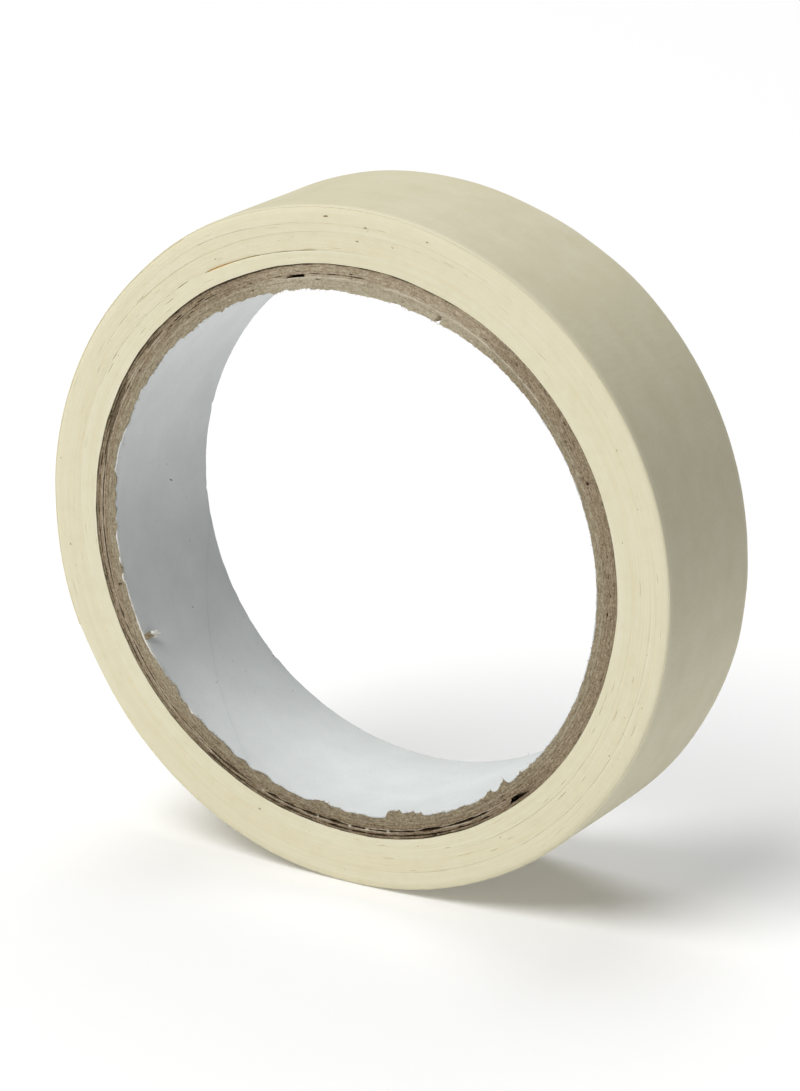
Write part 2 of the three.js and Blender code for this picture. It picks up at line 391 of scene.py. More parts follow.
def strip_piece(k):
    """Free end, from the middle of length k-1 to the middle of length k; the last piece runs to the torn tip."""
    a = ROOT if k == 1 else ROOT + SPAN * (k - 1.5)
    b = TIP if k == 8 else ROOT + SPAN * (k - 0.5)
    n = max(8, int((b - a) / 0.18)) + 1
    edge = float(reach(0))
    fine = np.concatenate([[edge, edge - 0.10, edge - 0.22, edge - 0.36, edge - 0.52, 10.85], np.arange(10.5, 0, -0.35)])
    y = np.concatenate([-fine, fine[::-1]])[None, :]
    end = np.full_like(y, b)
    if k == 8:  # the tape was torn off: a slanted, toothed edge
        t = y[0]
        tear = 0.25 + 0.10 * np.sin(t * 0.9 + 0.6) + 0.10 * noise(0, t, 1, 0.9, 71) + 0.14 * np.abs(noise(0, t, 1, 2.6, 72))
        end = (b - np.clip(tear + 0.012 * (t + 12), 0.02, 1.4))[None, :]
    u = np.linspace(0, 1, n)[:, None]
    s = a + u * (end - a)
    thin = np.zeros((n, 1))
    if k < 8:  # a slightly thinner tongue that reaches into the next piece, so that no slit opens when it bends
        s = np.concatenate([s, b + 0.003 + 0 * y, b + 0.36 + 0 * y])
        thin = np.concatenate([thin, [[1.0], [1.0]]])
        n += 2
    y = y * (1 - 0.0015 * thin)
    top = turn_radius(s + 0.0) + T - layer(0, y) + crepe(s, y) - 0.012 * thin
    under = turn_radius(s) - layer(0, y) + 0.010 + crepe(s, y) + 0.012 * thin
    if k == 8:  # its last millimetres stand off the roll a little
        lift = 0.10 * step(s, TIP - 3.0, TIP + 0.6) ** 1.4 * (0.55 + 0.45 * step(y, 2, 11.5))
        fray = 0.014 * noise(s, y, 900, 3.0, 73) * step(s, end - 0.8, end)
        thin = 0.55 * T * step(s, end - 0.35, end)
        top, under = top + lift + fray - thin * 0.5, under + lift + fray + thin * 0.4
    yy = np.concatenate([y, y[:, ::-1]], 1)
    r = np.concatenate([top, under[:, ::-1]], 1)
    ss = np.concatenate([s + 0 * y, (s + 0 * y)[:, ::-1]], 1)
    co = place(ss, r + dev(ss, r, yy), yy)
    m = r.shape[1]
    h = m // 2
    first = np.array([[i, i + 1, m - 2 - i, m - 1 - i] for i in range(h - 1)])
    last = (n - 1) * m + first[:, ::-1]
    quads = np.concatenate([grid(n, m, False, True), first, last])
    under_side = np.concatenate([np.zeros((n, h)), np.ones((n, h))], 1)
    return build(f"tape_free_end_{k}", co, quads, uv=strip_uv(ss, yy), attrs={"under": under_side})


# ---- the core -------------------------------------------------------------------------------------
def saw(phi, top, width, height):
    """A torn tooth that rises slowly and drops off sharply."""
    p = np.mod(phi - top + 180, 360) - 180
    return height * np.clip(1 + p / width, 0, 1) ** 1.3 * (1 - step(p, 0.0, 0.35))


def burr(phi, front=True):
    """How far the knife pushed the innermost ply's edge into the bore."""
    if front:
        base = around(phi, (0, 0.05), (22, 0.05), (40, 0.08), (52, 0.2), (62, 0.42), (74, 0.75), (84, 0.86), (94, 0.78),
                      (106, 0.58), (118, 0.42), (130, 0.38), (139, 0.14), (150, 0.1), (160, 0.0), (178, 0.02),
                      (188, 0.0), (212, 0.05), (240, 0.1), (255, 0.04), (295, 0.06), (330, 0.05))
        teeth = (
            windows(phi, [(278.9, 288.2, 0.80), (279.6, 283.0, 0.94), (284.6, 286.0, 0.92)], 0.4)
            + windows(phi, [(260.6, 265.2, 0.55), (217.5, 222.5, 0.3), (233.5, 238.5, 0.32), (247, 250, 0.16)], 0.7)
            + saw(phi, 310.8, 3.0, 0.95) + saw(phi, 306.6, 3.0, 0.62) + saw(phi, 315.5, 2.6, 0.34)
            + saw(phi, 299.0, 3.0, 0.22) + saw(phi, 267.5, 1.6, 0.32) + saw(phi, 226.0, 1.6, 0.22)
            + saw(phi, 243.0, 1.5, 0.24) + saw(phi, 134.0, 2.0, 0.25) + saw(phi, 122.0, 1.6, 0.3)
        )
        teeth = teeth + 0.42 * windows(phi, [(174, 242, 1.0)], 5.0) * np.clip(fbm(phi, 0, 110, 1, 19, 3) - 0.05, 0, 1)
        rough = 0.11 + 0.13 * windows(phi, [(96, 182, 1.0), (212, 330, 0.75)], 8.0)
        return (base * (1 + 0.14 * noise(phi, 0, 120, 1, 12)) + teeth * (1 + 0.22 * fbm(phi, 0, 260, 1, 11, 2))
                + rough * np.clip(fbm(phi, 0, 330, 1, 13, 3) + 0.25, -0.1, 1) + 0.02)
    base = 0.10 + 0.10 * noise(phi, 0, 14, 1, 14)
    calm = 1 - 0.85 * windows(phi, [(125, 325, 1.0)], 10.0)
    teeth = saw(phi, 40, 3, 0.5) + windows(phi, [(340, 346, 0.3), (84, 88, 0.3)], 0.8)
    return (np.clip(base, 0, 1) + teeth + 0.10 * np.abs(fbm(phi, 0, 420, 1, 15, 3))) * calm


# how wide each boundary between layers has opened at the cut faces: liner to 1, 1 to 2, ... 6 to the tape
def opened(k, phi):
    spans = [
        [(180, 236, 0.05)],
        [],
        [],
        [(85.5, 100, 0.17), (104, 108, 0.10)],
        [(234, 304, 0.36), (150, 235, 0.10), (120, 134, 0.07)],
        [(234, 304, 0.26), (150, 235, 0.11), (134, 150, 0.06)],
        [(165, 304, 0.05), (97, 165, 0.085), (60, 97, 0.03)],
    ][k]
    w = windows(phi, spans, 2.4) * np.clip(0.8 + 0.75 * noise(phi, 0, 170, 1, 90 + k), 0.06, 1.5)
    return w + 0.004


def bridge(phi):
    """Small fibre bridges across the open boundaries at the bottom."""
    return windows(phi, [(278.4, 279.4, 1), (273.5, 274.6, 1), (269.6, 270.5, 1), (262.2, 262.9, 1), (249, 249.7, 1)], 0.3)


def c_ring(name, co, n, nr, ny, attrs):
    """Closed ring with a slanted butt gap: a grid of sections and two end caps."""
    m = 2 * nr + 2 * ny
    last = m - 1
    first = [list(range(nr)) + [nr, last]]
    first += [[nr + k, nr + k + 1, last - k - 1, last - k] for k in range(ny - 1)]
    first += [[nr + ny - 1] + [nr + ny + k for k in range(nr)] + [nr + ny + nr]]
    caps = first + [[(n - 1) * m + v for v in reversed(p)] for p in first]
    return build(name, co, grid(n, m, False, True), caps, attrs=attrs)


def ply(i, columns):
    r0, r1, seam, gap_mm = PLIES[i]
    if i:
        r0 = PLIES[i - 1][1] + 0.008
    nr = 9 if i in (0, 4) else 7
    walls = np.array([0.72, 2.2, 3.6, 5.0, 6.4, 7.8, 9.2, 10.4, 11.1, 11.5, 11.8])
    walls = np.concatenate([-walls[::-1], walls])
    ny = len(walls)
    u = np.linspace(0, 1, columns)[:, None]
    half = np.degrees(gap_mm / 2 / ((r0 + r1) / 2))

    def phi_at(y, a=0.0):
        """a is the share of the wall's depth, so that the torn seam edges differ from layer to layer."""
        rag = 0.35 if gap_mm > 1 else 0.12
        slant = {2: -1.1, 4: 1.9}.get(i, 0.0) * (a - 0.5)
        lo = half + slant + rag * noise(np.full_like(y, 10.0), y * 1.0 + 7 * a, 3, 1.1, 500 + i)
        hi = half + 0.5 * slant + rag * noise(np.full_like(y, 200.0), y * 1.0 + 5 * a, 3, 1.1, 520 + i)
        mid = seam - HELIX * (y + H)
        return mid + lo + u * (360 - lo - hi)

    def bound(phi, y, outer):
        k = i + 1 if outer else i
        opening = opened(k, phi) * (1 - 0.85 * bridge(phi) if k in (4, 5) else 1.0)
        near = taper((y + H) * 1.7)
        far = taper((H - y) * 1.7)
        back = opened(k, phi + 140) * 0.8
        w = 0.5 * (opening * near + back * far) + 0.004
        wave = 0.030 * noise(phi, 0, 60, 1, 700 + k) * (near + far)
        return (r1 if outer else r0) + (-w if outer else w) + wave * (0 if k in (0, 6) else 1)

    def face(side):
        y = np.full((1, 1), side * H)
        a = np.linspace(0, 1, nr)[None, :]
        phi = phi_at(y + 0 * a, a)
        lo = bound(phi, side * H, False)
        hi = bound(phi, side * H, True)
        if i == 0:
            lo = lo - burr(phi, side < 0)
            lo = lo + (0.35 * windows(phi, [(160, 174, 1)], 5.0) if side < 0 else 0)
        r = lo + (hi - lo) * a
        mm = r - r0
        seed = 600 + 20 * i + (side > 0)
        depth = 0.045 * fbm(phi, r, 420, 5.0, seed, 3) + 0.030 * noise(phi, r, 900, 9.0, seed + 5)
        wide_in, wide_out = step(opened(i, phi), 0.03, 0.09), step(opened(i + 1, phi), 0.03, 0.09)
        depth = depth + 0.035 * (wide_in * np.exp(-np.abs(r - lo) / 0.06) + wide_out * np.exp(-np.abs(hi - r) / 0.06))
        chips = np.clip(fbm(phi, r, 230, 3.4, seed + 9, 2) - (0.95 if i < 2 else 0.84), 0, 1) * 0.9
        depth = depth + chips
        if i == 4 and side < 0:  # the thick ply has split along its middle
            split = windows(phi, [(152.5, 168.5, 1.0), (130.5, 133.5, 0.7), (124, 126.5, 0.6)], 1.0)
            depth = depth + split * 0.9 * np.exp(-(((a - 0.375) / 0.09) ** 2))
            depth = depth + windows(phi, [(150, 163, 0.7), (136, 143, 0.5)], 2.0) * np.exp(-(((a - 0.75) / 0.09) ** 2))
        if i == 0 and side < 0:
            depth = depth + 0.10 * step(burr(phi), 0.3, 0.9) * (1 - a)
        # painted shade: the colour is darkened in the chipped hollows
        grain_and_shade = 0.45 * fbm(phi, r, 360, 4.2, seed + 3, 3) - 1.4 * chips
        # painted shade: darker along the edges of the open boundaries between plies
        grain_and_shade = grain_and_shade - 0.5 * (wide_in * np.exp(-np.abs(r - lo) / 0.05) + wide_out * np.exp(-np.abs(hi - r) / 0.05))
        pale, dark = 0 * r, 0 * r
        patchy = np.clip(0.65 + 0.8 * noise(phi, 0, 150, 1, 35 + i), 0, 1.2)
        if side < 0:
            # painted light and shade: the front face is painted lighter towards the top and darker towards the bottom
            grain_and_shade = grain_and_shade + 0.95 * windows(phi, [(50, 118, 1.0)], 14.0) - 0.45 * windows(phi, [(222, 325, 1.0)], 14.0)
            glue = windows(phi, [(40, 109, 1.0), (108, 150, 0.4)], 3.0) * np.clip(patchy + 0.25, 0.3, 1)
            if i == 1:
                pale = glue * np.exp(-(((a - 1.0) / 0.22) ** 2))
            if i == 2:
                pale = glue * np.exp(-((a / 0.12) ** 2))
            if i in (3, 4):  # pale edges of the plies along the open boundaries
                pale = 0.55 * windows(phi, [(135, 310, 1.0)], 5.0) * patchy * np.exp(-(((a - (0.72 if i == 3 else 0.2)) / 0.11) ** 2))
            if i in (3, 4):  # fibre bridges
                pale = np.maximum(pale, bridge(phi) * np.exp(-(((a - (1.0 if i == 3 else 0.0)) / 0.3) ** 2)))
        if i == 5:
            dark = windows(phi, [(60, 304, 1.0)], 10.0) * patchy * np.exp(-(((a - 1.0) / 0.34) ** 2))
            line = windows(phi, [(98, 166, 1.2)], 5.0) * np.clip(patchy + 0.3, 0.6, 1)
            dark = np.maximum(dark, line * np.exp(-(((a - 1.0) / 0.46) ** 2)))
        return phi, r, side * (H - depth), grain_and_shade, pale, dark

    fphi, fr, fy, ft, fpale, fdark = face(-1)
    bphi, br, by, bt, bpale, bdark = face(1)
    wy = walls[None, :]
    po, pi = phi_at(wy, 1.0), phi_at(wy, 0.0)
    ro, ri = bound(po, wy, True), bound(pi, wy, False)
    if i == 0:
        ri = ri + 0.035
        lip = np.clip(1 - (wy + H) / 0.62, 0, 1) ** 0.8
        lip_back = np.clip(1 - (H - wy) / 0.62, 0, 1) ** 0.8
        ri = ri - burr(pi) * lip - burr(pi, False) * lip_back
    PHI = np.concatenate([fphi, po, bphi[:, ::-1], pi[:, ::-1]], 1)
    R = np.concatenate([fr, ro, br[:, ::-1], ri[:, ::-1]], 1)
    Y = np.concatenate([fy, wy + 0 * u, by[:, ::-1], wy[:, ::-1] + 0 * u], 1)
    # painted shade: the ply walls, seen only inside the open boundaries, are darkened, most of all near the cut faces
    wall_grain_and_shade = 0.3 * fbm(PHI, Y, 200, 1.2, 640 + i, 3) - 0.35 - (1.2 * step(np.abs(Y), 10.0, 11.2) if i >= 2 else 0)
    grain_and_shade = np.concatenate([ft, wall_grain_and_shade[:, nr:nr + ny], bt[:, ::-1], wall_grain_and_shade[:, 2 * nr + ny:]], 1)
    none = np.zeros((columns, ny))
    pale = np.concatenate([fpale, none, bpale[:, ::-1], none], 1)
    dark = np.concatenate([fdark, none, bdark[:, ::-1], none], 1)
    co = place(PHI, R + core_dev(PHI) * (0.35 + 0.65 * step(R, 38.3, 41.0)), Y)
    return c_ring(f"core_board_{i + 1}", co, columns, nr, ny, {"grain_and_shade": grain_and_shade, "pale": pale, "dark": dark})


def liner(columns):
    r0, r1, seam, gap_mm = BORE_R, 38.17, 245.0, 0.03
    nr = 3
    u = np.linspace(0, 1, columns)[:, None]
    half = np.degrees(gap_mm / 2 / 38.1)

    def ends(phi):
        """How far the front and back edges are from the nominal ones, inwards."""
        lip = sum(step(burr(phi + d), 0.12, 0.3) for d in (-0.9, -0.6, -0.3, 0, 0.3, 0.6, 0.9)) / 7
        pale = windows(phi, [(178, 237, 1.0)], 4.0)
        front = 0.02 + (0.62 - 0.2 * pale) * lip + 0.06 * fbm(phi, 0, 220, 1, 801, 2)
        front = front - pale * (0.06 + 0.26 * np.clip(fbm(phi, 0, 200, 1, 802, 2), -0.3, 1))
        nicks = windows(phi, [(164.0, 165.8, 0.32), (183.8, 185.2, 0.26), (224.6, 226.4, 0.42)], 0.8)
        lip_back = sum(step(burr(phi + d, False), 0.1, 0.3) for d in (-0.8, -0.4, 0, 0.4, 0.8)) / 5
        back = 0.05 + 0.10 * lip_back + 0.05 * fbm(phi, 0, 220, 1, 803, 2) + nicks
        return front, back

    def shape(y_nom, outer, a):
        mid = seam - HELIX * (y_nom + H)
        phi = mid + half + u * (360 - 2 * half)
        front, back = ends(phi)
        y = (y_nom + front * np.clip(1 - (y_nom + H) / 1.6, 0, 1) ** 1.5 - back * np.clip(1 - (H - y_nom) / 1.3, 0, 1) ** 1.5)
        r = (r1 if outer else r0) + 0 * y if a is None else r0 + (r1 - r0) * a + 0 * y
        # the strip's own edges lift a little along the seam
        away = np.minimum(u, 1 - u) * 360
        lift = 0.012 * np.exp(-away / 0.8) + 0.008 * np.exp(-away / 4.0) * np.where(u < 0.5, 1, 0.3)
        wave = 0.028 * fbm(phi, y, 20, 0.11, 811, 3)
        flare = 0.30 * windows(phi, [(160, 175, 1.0)], 5.0) * np.clip(1 - (y + H) / 1.1, 0, 1) ** 1.5
        press = 0.05 * np.clip(1 - (y + H) / 0.5, 0, 1) * noise(phi, 0, 200, 1, 817)
        return phi, r - lift * (1 if not outer else 0.6) + wave * (0.4 if outer else 1.0) + flare + press, y

    rows_in = np.concatenate([[0.05, 0.12, 0.2, 0.3, 0.42, 0.56, 0.74, 0.96, 1.25, 1.6, 2.2], np.arange(3.4, 21.5, 1.45),
                              [22.4, 22.9, 23.25, 23.5, 23.7, 23.85, 23.95]])
    t_w = (rows_in - H)[None, :]
    ny = t_w.size
    a = np.linspace(0, 1, nr)[None, :]
    groups = [shape(np.full_like(a, -H), False, a), shape(t_w, True, None),
              shape(np.full_like(a, H), False, a[:, ::-1]), shape(t_w[:, ::-1], False, None)]
    PHI, R, Y = (np.concatenate([g[k] + 0 * u for g in groups], 1) for k in range(3))
    co = place(PHI, R + core_dev(PHI) * 0.35, Y)
    torn = np.clip(1 - (Y + H) / 0.35, 0, 1) * windows(PHI, [(176, 238, 1.0)], 4.0)
    away = np.minimum(u, 1 - u) * 360 + 0 * Y
    # the seam attribute marks where the material paints shade along the seam
    return c_ring("core_paper_liner", co, columns, nr, ny, {"torn": torn, "seam": np.exp(-away / 0.35)})


# ---- loose fibres ---------------------------------------------------------------------------------
class Fibres:
    """Fine tapered hairs of paper, each closed, gathered in one mesh."""

    def __init__(self, sides=4):
        self.co, self.quads, self.polys, self.sides, self.count = [], [], [], sides, 0

    def add(self, points, width, flat=1.0, tip=0.12):
        points = np.asarray(points, float)
        n, k = len(points), self.sides
        tangent = np.gradient(points, axis=0)
        tangent /= np.linalg.norm(tangent, axis=1, keepdims=True) + 1e-12
        ref = np.array([0.31, 0.87, 0.38])
        side = np.cross(tangent, ref)
        side /= np.linalg.norm(side, axis=1, keepdims=True) + 1e-12
        up = np.cross(side, tangent)
        t = np.linspace(0, 1, n)
        w = width * (tip + (1 - tip) * (1 - t**1.6))
        ang = np.arange(k) * 2 * math.pi / k + math.pi / k
        ring = (points[:, None, :]
                + side[:, None, :] * (np.cos(ang)[None, :, None] * w[:, None, None])
                + up[:, None, :] * (np.sin(ang)[None, :, None] * w[:, None, None] * flat))
        base = self.count
        self.co.append(ring.reshape(-1, 3))
        self.quads.append(grid(n, k, False, True) + base)
        self.polys.append([base + j for j in range(k)])
        self.polys.append([base + (n - 1) * k + j for j in reversed(range(k))])
        self.count += n * k

    def make(self, name):
        return build(name, np.concatenate(self.co), np.concatenate(self.quads), self.polys, smooth=60.0)


def cyl(phi, r, y):
    return np.array([r * math.cos(math.radians(phi)), y, r * math.sin(math.radians(phi))])


def hair(g, phi, r, y, length, out_y, inward, along, segs=5):
    """Points of one fibre from a root on the core's edge, in mm."""
    e_r = cyl(phi, 1, 0)
    e_t = cyl(phi + 90, 1, 0)
    d = -inward * e_r + along * e_t + np.array([0, out_y, 0])
    d /= np.linalg.norm(d)
    bend = g.normal(0, 0.35, 3)
    t = np.linspace(0, 1, segs)[:, None]
    return cyl(phi, r, y)[None, :] - 0.05 * d + d[None, :] * length * t + bend[None, :] * length * 0.5 * t**2


def board_fibres():
    g = np.random.default_rng(21)
    f = Fibres(3)
    for side in (-1, 1):
        for _ in range(900):
            phi = g.uniform(0, 360)
            b = float(burr(np.array([phi]), side < 0)[0])
            r = 38.22 - b + g.uniform(-0.02, 0.10) + float(core_dev(np.array([phi]))[0]) * 0.3
            pts = hair(g, phi, r, side * (H - g.uniform(0.02, 0.4)), g.uniform(0.15, 0.55), side * g.uniform(-0.1, 0.35),
                       g.uniform(0.3, 1.0), g.normal(0, 0.8))
            f.add(pts * 0.001, g.uniform(0.015, 0.038) * 0.001)
        for _ in range(1300):
            phi = g.uniform(0, 360)
            r = g.uniform(38.4, 41.0)
            r += float(core_dev(np.array([phi]))[0]) * 0.9
            pts = hair(g, phi, r, side * (H - 0.04), g.uniform(0.12, 0.5), side * g.uniform(0.02, 0.28),
                       g.normal(0, 0.25), g.choice([-1, 1]) * g.uniform(0.6, 1.2))
            f.add(pts * 0.001, g.uniform(0.008, 0.020) * 0.001)
    return f.make("core_board_fibres")


def white_fibres():
    g = np.random.default_rng(22)
    f = Fibres(3)
    for side, count in ((-1, 700), (1, 300)):
        for _ in range(count):
            if side < 0:
                phi = g.choice([g.uniform(176, 238), g.uniform(140, 330), g.uniform(196, 236)])
            else:
                phi = g.uniform(0, 360)
            b = float(burr(np.array([phi]), side < 0)[0])
            r = 38.06 - 0.75 * b * (0.5 if side < 0 else 0.2) + g.uniform(-0.06, 0.1) + float(core_dev(np.array([phi]))[0]) * 0.3
            pts = hair(g, phi, r, side * (H - g.uniform(-0.02, 0.25)), g.uniform(0.1, 0.38), side * g.uniform(-0.2, 0.6),
                       g.uniform(0.1, 0.9), g.normal(0, 0.9))
            f.add(pts * 0.001, g.uniform(0.008, 0.022) * 0.001)
    return f.make("core_liner_fibres")


def tear():
    """A shred of the liner that stands off the bore near the front edge."""
    g = np.random.default_rng(23)
    f = Fibres(6)
    r = 38.0 + float(core_dev(np.array([208.0]))[0]) * 0.35
    rows = [  # root phi, root y, tip phi, tip y, tip stand-off, width, flatness
        (208.2, -10.8, 208.7, -9.7, 0.85, 0.34, 0.75),
        (208.5, -10.7, 209.1, -9.9, 0.65, 0.28, 0.75),
        (207.9, -10.7, 208.2, -10.0, 0.95, 0.24, 0.8),
        (208.6, -10.9, 209.2, -10.3, 0.55, 0.22, 0.7),
    ]
    for p0, y0, p1, y1, off, w, flat in rows:
        t = np.linspace(0, 1, 14)
        pts = [cyl(p0 + (p1 - p0) * x, r - 0.30 - (off - 0.30) * x**0.8, y0 + (y1 - y0) * x) for x in t]
        pts = np.array(pts) + np.stack([0.05 * noise(0, t * 9 + k, 1, 1, 33 + k) for k in range(3)], -1)
        f.add(pts * 0.001, w * 0.001, flat, tip=0.5)
    for _ in range(26):
        x = g.uniform(0.25, 1.0)
        root = cyl(208.2 + 0.6 * x, r - 0.04 - 0.85 * x**0.8, -11.3 + 1.7 * x)
        d = np.array([g.normal(0.4, 0.5), g.uniform(0.1, 1.0), g.normal(0.2, 0.6)])
        d /= np.linalg.norm(d)
        length = g.uniform(0.15, 0.5)
        t = np.linspace(0, 1, 5)[:, None]
        pts = root + d * length * t + g.normal(0, 0.25, 3) * length * t**2
        f.add(pts * 0.001, g.uniform(0.012, 0.025) * 0.001)
    return f.make("core_liner_shred")


def shred_root():
    g = np.random.default_rng(24)
    f = Fibres(5)
    r = 38.15
    for _ in range(12):
        p0 = g.uniform(207.7, 208.9)
        p1 = p0 + g.normal(0.1, 0.3)
        t = np.linspace(0, 1, 6)
        reach_y, off = g.uniform(1.0, 1.8), g.uniform(0.25, 0.65)
        pts = [cyl(p0 + (p1 - p0) * x, r + 0.10 - (off + 0.25) * x**0.8, -12.05 + reach_y * x) for x in t]
        f.add(np.array(pts) * 0.001, g.uniform(0.09, 0.18) * 0.001, 0.7, tip=0.4)
    return f.make("core_shred_root")


def bark_specks():
    """Flecks of bark in the paper, where a turn's edge or the tape's back shows one."""
    g = np.random.default_rng(25)
    co, quads, polys, count = [], [], [], 0
    named = [(336, 43.25, 0.16), (332, 45.7, 0.17), (343, 47.1, 0.10), (303, 43.9, 0.13), (307.5, 43.1, 0.10),
             (94, 47.5, 0.24), (250, 43.1, 0.19), (187.5, 46.4, 0.17), (204.5, 42.1, 0.15), (27.75, 45.9, 0.17),
             (17.5, 45.95, 0.11), (75, 47.3, 0.13), (69.5, 45.65, 0.16), (88, 44.6, 0.12), (84, 43.4, 0.12),
             (86.5, 46.6, 0.15), (86, 46.2, 0.12), (81, 44.9, 0.09), (60, 46.4, 0.10), (172, 47.7, 0.10),
             (118, 44.3, 0.09), (285, 42.2, 0.08), (269, 46.8, 0.08), (232, 44.2, 0.08), (12, 42.6, 0.08)]
    spots = [(-1, p, r, 1.2 * w) for p, r, w in named]
    spots += [(-1, g.uniform(0, 360), g.uniform(41.6, 47.4), g.uniform(0.035, 0.075)) for _ in range(70)]
    spots += [(1, g.uniform(0, 360), g.uniform(41.6, 47.4), g.uniform(0.05, 0.18)) for _ in range(60)]
    for side, phi, r, w in spots:
        e_r, e_t = cyl(phi, 1, 0), cyl(phi + 90, 1, 0)
        m = max(0.0, (48.75 - r) / T)
        centre = cyl(phi, r + float(dev(np.array([phi]), np.array([r]), np.array([side * H]))[0]),
                     side * (float(reach(m)) - 0.008))
        k = 9
        ang = np.arange(k) * 2 * math.pi / k
        stretch = g.uniform(1.1, 2.1)
        rim = w * (0.75 + 0.35 * g.uniform(-1, 1, k))
        out = np.array([0, side, 0.0])
        rows = []
        for f, hgt in ((1.0, -0.06), (0.92, 0.006), (0.5, 0.016)):
            rows.append(centre + (np.cos(ang) * rim * f)[:, None] * e_t * stretch
                        + (np.sin(ang) * rim * f * 0.62)[:, None] * e_r + out * hgt)
        pts = np.concatenate(rows)
        co.append(pts)
        quads.append(grid(3, k, False, True) + count)
        a, b = [count + j for j in range(k)], [count + 2 * k + j for j in reversed(range(k))]
        q = np.concatenate([grid(3, k, False, True)])
        if volume(pts, q) < 0:
            quads[-1] = quads[-1][:, ::-1]
            a, b = a[::-1], b[::-1]
        polys += [a, b]
        count += 3 * k
    return build("tape_bark_specks", np.concatenate(co) * 0.001, np.concatenate(quads), polys)


def liner_specks():
    """Grey flecks in the liner's paper."""
    g = np.random.default_rng(26)
    spots = [(178.8, 2.4, 0.20, 2.6), (207.4, 1.06, 0.17, 1.2), (142.0, -0.6, 0.14, 1.2), (146.0, -2.2, 0.15, 1.2),
             (234.7, 9.3, 0.11, 1.6), (194.0, 5.5, 0.09, 1.3), (203.0, 8.0, 0.08, 1.3), (222.0, 3.0, 0.09, 1.4),
             (286.0, -6.5, 0.12, 1.2), (263.0, 2.0, 0.08, 1.3), (240.0, 6.0, 0.08, 1.6)]
    spots += [(g.uniform(0, 360), g.uniform(-11, 11), g.uniform(0.03, 0.08), 1.5) for _ in range(46)]
    co, quads, polys, count = [], [], [], 0
    for phi, y, w, stretch in spots:
        e_r, e_t, e_y = cyl(phi, 1, 0), cyl(phi + 90, 1, 0), np.array([0.0, 1.0, 0.0])
        wave = 0.028 * fbm(np.array([phi, 0.0]), np.array([y, -H]), 20, 0.11, 811, 3)[0]
        centre = cyl(phi, BORE_R + wave + 0.35 * float(core_dev(np.array([phi]))[0]), y)
        k = 9
        ang = np.arange(k) * 2 * math.pi / k
        rim = w * (0.8 + 0.3 * g.uniform(-1, 1, k))
        turn = g.uniform(0.3, 1.2)
        u, v = math.cos(turn) * e_t + math.sin(turn) * e_y, math.cos(turn) * e_y - math.sin(turn) * e_t
        pts = np.concatenate([centre + (np.cos(ang) * rim * f * stretch)[:, None] * u + (np.sin(ang) * rim * f)[:, None] * v
                              - e_r * hgt for f, hgt in ((1.0, -0.05), (0.9, 0.012), (0.5, 0.02))])
        q = grid(3, k, False, True)
        a, b = [count + j for j in range(k)], [count + 2 * k + j for j in reversed(range(k))]
        if volume(pts, q) < 0:
            q, a, b = q[:, ::-1], a[::-1], b[::-1]
        co.append(pts)
        quads.append(q + count)
        polys += [a, b]
        count += 3 * k
    return build("core_liner_specks", np.concatenate(co) * 0.001, np.concatenate(quads), polys)


# ---- materials -------------------------------------------------------------------------------------
def lin(hex_or_rgb):
    """Linear colour from sRGB hex."""
    v = [int(hex_or_rgb[k:k + 2], 16) / 255 for k in (0, 2, 4)]
    return tuple(x / 12.92 if x <= 0.04045 else ((x + 0.055) / 1.055) ** 2.4 for x in v) + (1.0,)


